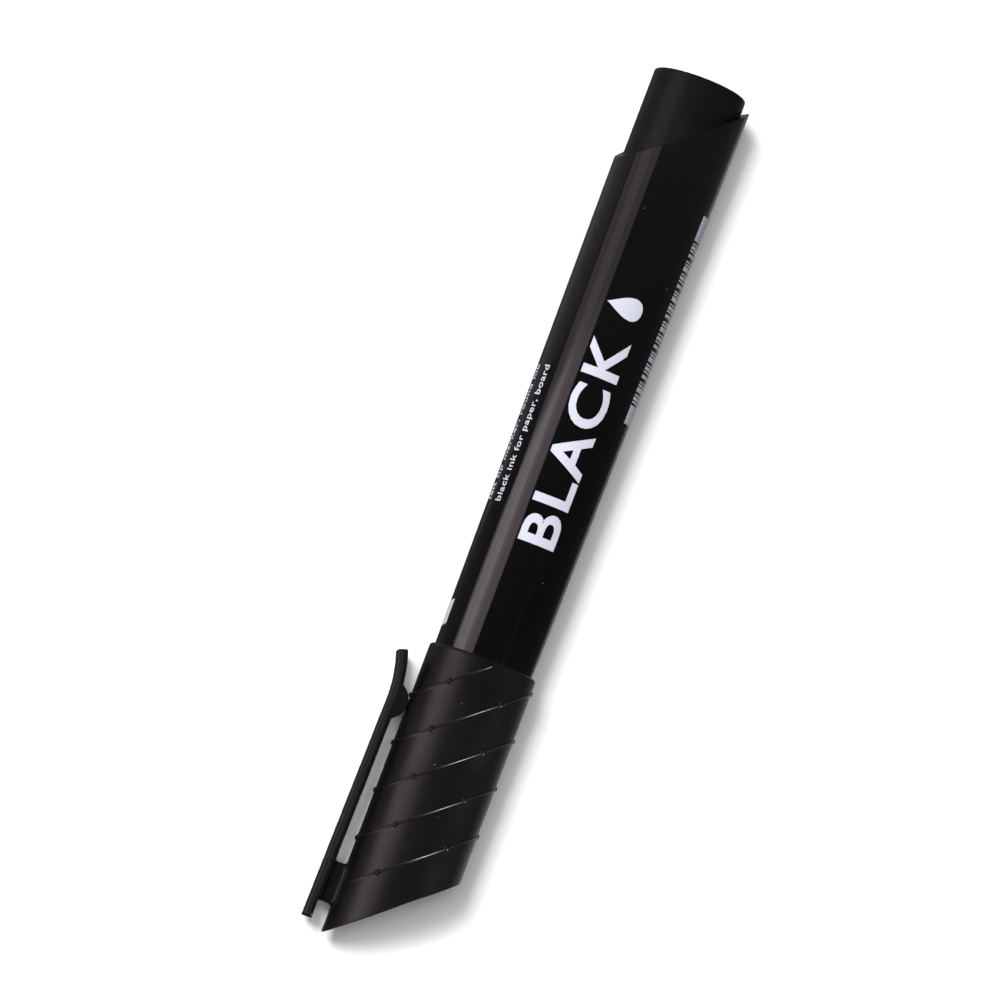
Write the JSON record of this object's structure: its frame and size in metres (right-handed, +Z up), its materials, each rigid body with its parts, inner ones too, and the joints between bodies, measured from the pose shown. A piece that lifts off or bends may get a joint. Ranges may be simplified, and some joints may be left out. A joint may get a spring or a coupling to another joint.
{
  "type": "felt tip marker",
  "caption": "Capped felt tip marker with slanted ends, a pull-off cap with raised slanted lines, a springy pocket clip, and a fibre nib fed from an ink reservoir.",
  "frame": {"origin": "on the surface that the marker lies on, under the middle of its bounding box", "axes": "+X along the marker towards the nib, -Y towards the pocket clip, +Z up"},
  "size_m": [0.1412, 0.0216, 0.0172],
  "materials": {
    "barrel_plastic": "polished black moulding, printed",
    "plug_plastic": "satin black moulding",
    "holder_plastic": "satin black moulding",
    "nib_fibre": "bonded fibre soaked with black ink",
    "reservoir_fibre": "fibre rod soaked with black ink",
    "film_plastic": "thin clear film",
    "cap_plastic": "fine matte black moulding",
    "liner_plastic": "natural white moulding",
    "print_ink": "light grey screen print"
  },
  "bodies": {
    "pen": {"barrel": "barrel_plastic", "tail_plug": "plug_plastic", "nib_holder": "holder_plastic", "nib": "nib_fibre", "ink_reservoir": "reservoir_fibre", "reservoir_film": "film_plastic"},
    "cap": {"cap_shell": "cap_plastic", "inner_cap": "liner_plastic"},
    "clip": {"pocket_clip": "cap_plastic"}
  },
  "joints": [
    {"name": "cap_pull", "type": "slide", "parent": "pen", "child": "cap", "axis": [1, 0, 0], "range_m": [0, 0.045]},
    {"name": "clip_flex", "type": "hinge", "parent": "cap", "child": "clip", "pos_m": [0.05785, -0.00849, 0.00525], "axis": [0, -0.2997, 0.954], "range_deg": [0, 5], "stiffness_Nm_per_rad": 0.5}
  ]
}
